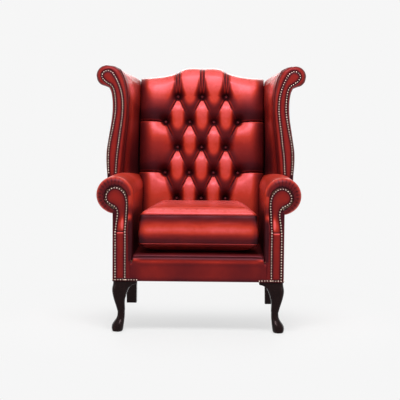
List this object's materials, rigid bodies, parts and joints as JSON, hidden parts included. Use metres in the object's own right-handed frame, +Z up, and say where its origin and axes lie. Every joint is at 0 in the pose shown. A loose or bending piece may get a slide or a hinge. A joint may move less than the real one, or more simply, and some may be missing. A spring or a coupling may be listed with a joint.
{
  "type": "wing armchair",
  "caption": "High-back wing armchair in deep-buttoned antique red leather, with rolled arms, scrolled wings, nailed facings, a loose seat cushion and dark cabriole front legs.",
  "frame": {"origin": "on the floor, under the centre of the chair's bounding box", "axes": "+Z up, +X from the chair's left-hand side in the picture to its right-hand side, +Y from its front to its back"},
  "size_m": [0.8712, 0.8122, 1.0647],
  "materials": {
    "leather": "rubbed-off antique red hide, semi-gloss, dark in the creases",
    "mahogany": "dark mahogany polish, satin",
    "nails": "aged brass upholstery nail heads",
    "beech": "sawn beech, unfinished",
    "spring_steel": "plain spring wire and clips",
    "webbing": "jute webbing",
    "dust_cloth": "black lining cloth",
    "filling": "feather and foam filling in a plain inner case"
  },
  "bodies": {
    "chair": {"arm_facing_left": "leather", "arm_facing_right": "leather", "arm_nails_left": "nails", "arm_nails_right": "nails", "arm_pad_left": "leather", "arm_pad_right": "leather", "arm_post_left": "beech", "arm_post_right": "beech", "arm_rail_left": "beech", "arm_rail_right": "beech", "back_buttons": "leather", "back_pad": "leather", "back_post_left": "beech", "back_post_right": "beech", "back_tacking_rail": "beech", "back_webbing": "webbing", "corner_blocks": "beech", "crest_rail": "beech", "dust_cover": "dust_cloth", "front_border": "leather", "front_leg_left": "mahogany", "front_leg_right": "mahogany", "front_seat_rail": "beech", "leg_dowels": "beech", "outside_arm_panel_left": "leather", "outside_arm_panel_right": "leather", "outside_back_panel": "leather", "outside_wing_panel_left": "leather", "outside_wing_panel_right": "leather", "post_cover_left": "leather", "post_cover_right": "leather", "post_facing_left": "leather", "post_facing_right": "leather", "rear_leg_left": "mahogany", "rear_leg_right": "mahogany", "rear_seat_rail": "beech", "seat_deck": "leather", "seat_springs": "spring_steel", "side_seat_rail_left": "beech", "side_seat_rail_right": "beech", "spring_clips": "spring_steel", "wing_board_left": "beech", "wing_board_right": "beech", "wing_facing_left": "leather", "wing_facing_right": "leather", "wing_nails_left": "nails", "wing_nails_right": "nails", "wing_pad_left": "leather", "wing_pad_right": "leather", "wing_rail_left": "beech", "wing_rail_right": "beech"},
    "seat_cushion": {"cushion_piping": "leather", "seat_cushion_core": "filling", "seat_cushion_cover": "leather"}
  },
  "joints": [
    {"name": "cushion_lift", "type": "slide", "parent": "chair", "child": "seat_cushion", "axis": [0, 0, 1], "range_m": [0, 0.32]}
  ]
}
